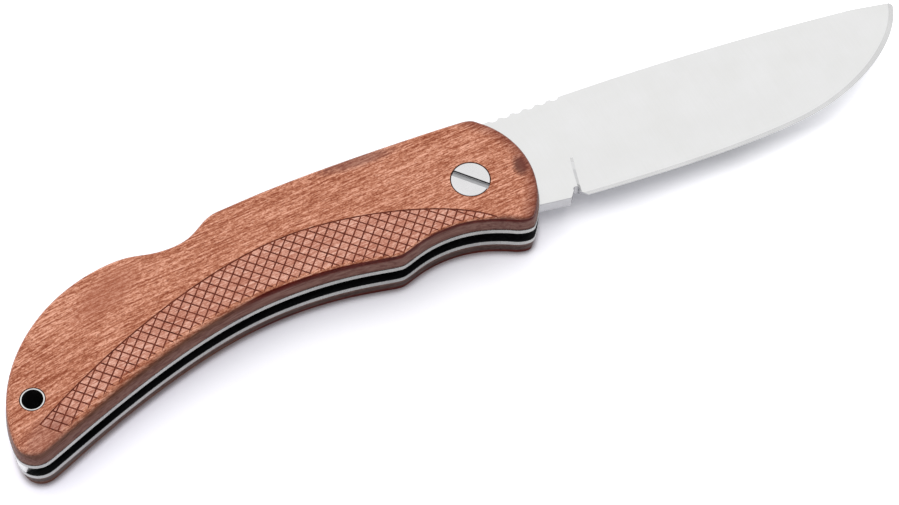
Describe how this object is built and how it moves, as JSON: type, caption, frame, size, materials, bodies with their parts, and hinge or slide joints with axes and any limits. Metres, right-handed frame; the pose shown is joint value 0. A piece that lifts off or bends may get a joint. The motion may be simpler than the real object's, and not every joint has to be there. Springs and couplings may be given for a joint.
{
  "type": "folding pocket knife",
  "caption": "Folding back-lock pocket knife with wooden scales, steel liners, slotted pivot screw and lanyard tube, shown with its blade open.",
  "frame": {"origin": "on the pivot axis, in the plane of the lower face that the knife lies on", "axes": "+X from the pivot to the blade's tip, +Y from the cutting edge to the spine, +Z from the lower face up through the thickness"},
  "size_m": [0.2143, 0.0354, 0.014],
  "materials": {
    "wood": "fine straight grain, oiled, checkered panel",
    "polished_steel": "bright, finely ground edges",
    "satin_steel": "satin",
    "spring_steel": "tempered, grey",
    "bronze": "plain bearing bronze"
  },
  "bodies": {
    "handle": {"upper_scale": "wood", "lower_scale": "wood", "upper_liner": "polished_steel", "lower_liner": "polished_steel", "back_spring": "spring_steel", "tail_spacer": "polished_steel", "pivot_screw": "polished_steel", "pivot_barrel": "polished_steel", "lower_washer": "bronze", "upper_washer": "bronze", "rocker_pin": "polished_steel", "front_spacer_pin": "polished_steel", "rear_spacer_pin": "polished_steel", "lanyard_tube": "polished_steel"},
    "blade": {"blade": "satin_steel"},
    "lock_bar": {"lock_bar": "satin_steel"}
  },
  "joints": [
    {"name": "blade_fold", "type": "hinge", "parent": "handle", "child": "blade", "pos_m": [0, 0, 0.007], "axis": [0, 0, 1], "range_deg": [-171, 0]},
    {"name": "lock_release", "type": "hinge", "parent": "handle", "child": "lock_bar", "pos_m": [-0.036, 0.0134, 0.007], "axis": [0, 0, 1], "range_deg": [0, 4], "stiffness_Nm_per_rad": 0.5, "springref_deg": -2.86, "deforming": ["back_spring"]}
  ]
}
